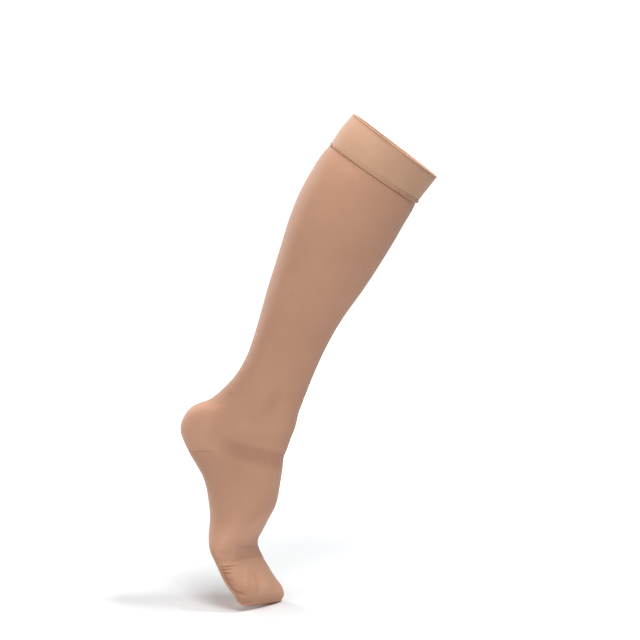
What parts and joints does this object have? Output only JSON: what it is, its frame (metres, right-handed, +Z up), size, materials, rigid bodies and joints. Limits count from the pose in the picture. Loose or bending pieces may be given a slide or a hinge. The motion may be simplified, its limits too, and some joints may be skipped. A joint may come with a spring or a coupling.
{
  "type": "knee-length compression stocking",
  "caption": "Worn knee-length compression stocking with a doubled top band, heel pocket and closed toe, hollow and open at the top.",
  "frame": {"origin": "middle of the mouth of the top band, where it grips the leg below the knee", "axes": "+X the way the toes point, +Y the inner side of the leg, +Z up; the leg leans forwards and the heel is raised"},
  "size_m": [0.2906, 0.1088, 0.5614],
  "materials": {
    "band_knit": "doubled elastic microfibre knit, matt, beige",
    "leg_knit": "fine opaque microfibre and elastane knit, soft sheen, beige",
    "heel_knit": "denser plain knit, matt, beige",
    "toe_knit": "reinforced plain knit, matt, pale beige"
  },
  "bodies": {
    "root": {"top_band": "band_knit", "leg": "leg_knit", "foot": "leg_knit", "heel_pocket": "heel_knit", "toe_cap": "toe_knit"}
  },
  "joints": []
}
